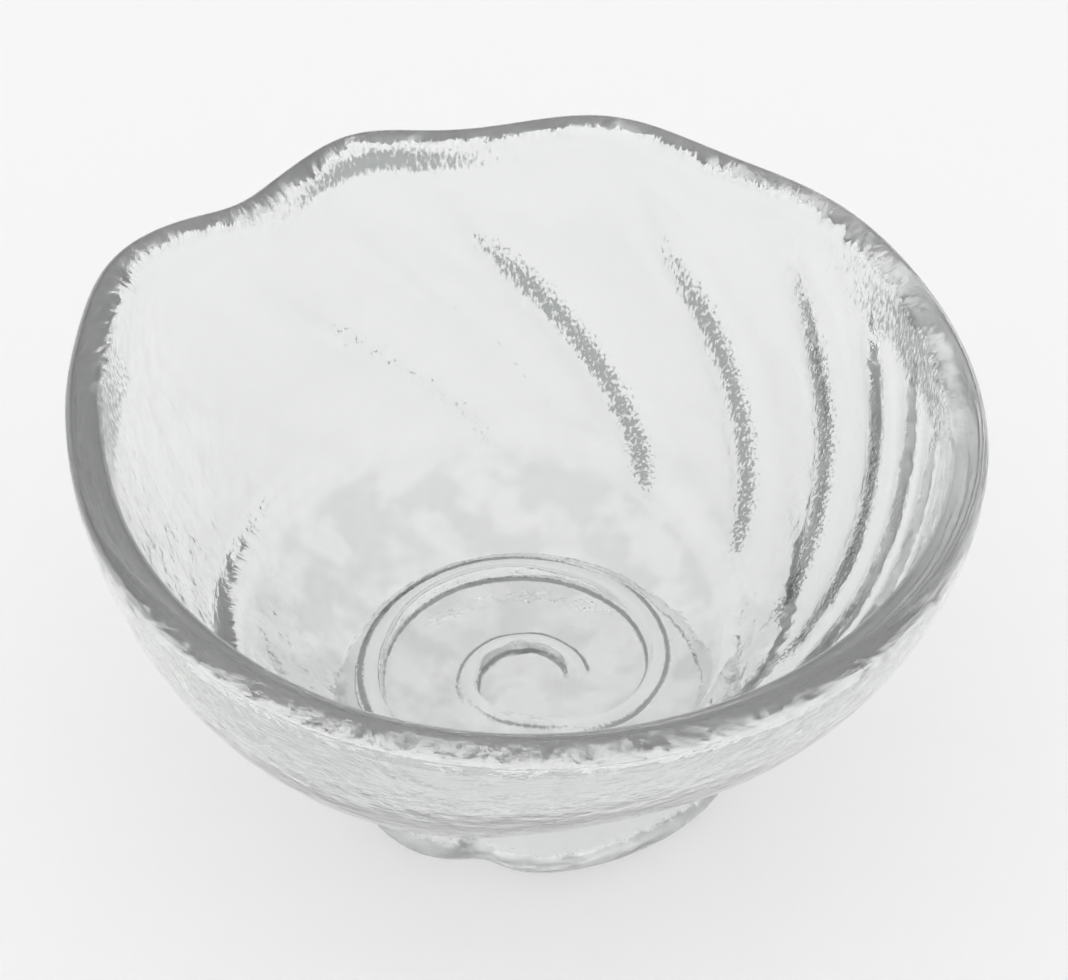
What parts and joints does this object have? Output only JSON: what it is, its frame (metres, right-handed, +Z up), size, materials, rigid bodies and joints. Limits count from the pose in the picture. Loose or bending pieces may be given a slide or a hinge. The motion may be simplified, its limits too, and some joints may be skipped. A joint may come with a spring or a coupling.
{
  "type": "shell bowl",
  "caption": "Deep round serving bowl cast in clear glass as a sea shell, with a spiral floor, leaning growth creases, a thick wavy rim and a lobed foot.",
  "frame": {"origin": "on the table, in the flat face of the foot, under the middle of the inside floor", "axes": "+Z up out of the bowl, -Y the front, +X to the right of someone facing the front"},
  "size_m": [0.2117, 0.2124, 0.1085],
  "materials": {
    "clear_glass": "polished"
  },
  "bodies": {
    "root": {"bowl": "clear_glass"}
  },
  "joints": []
}
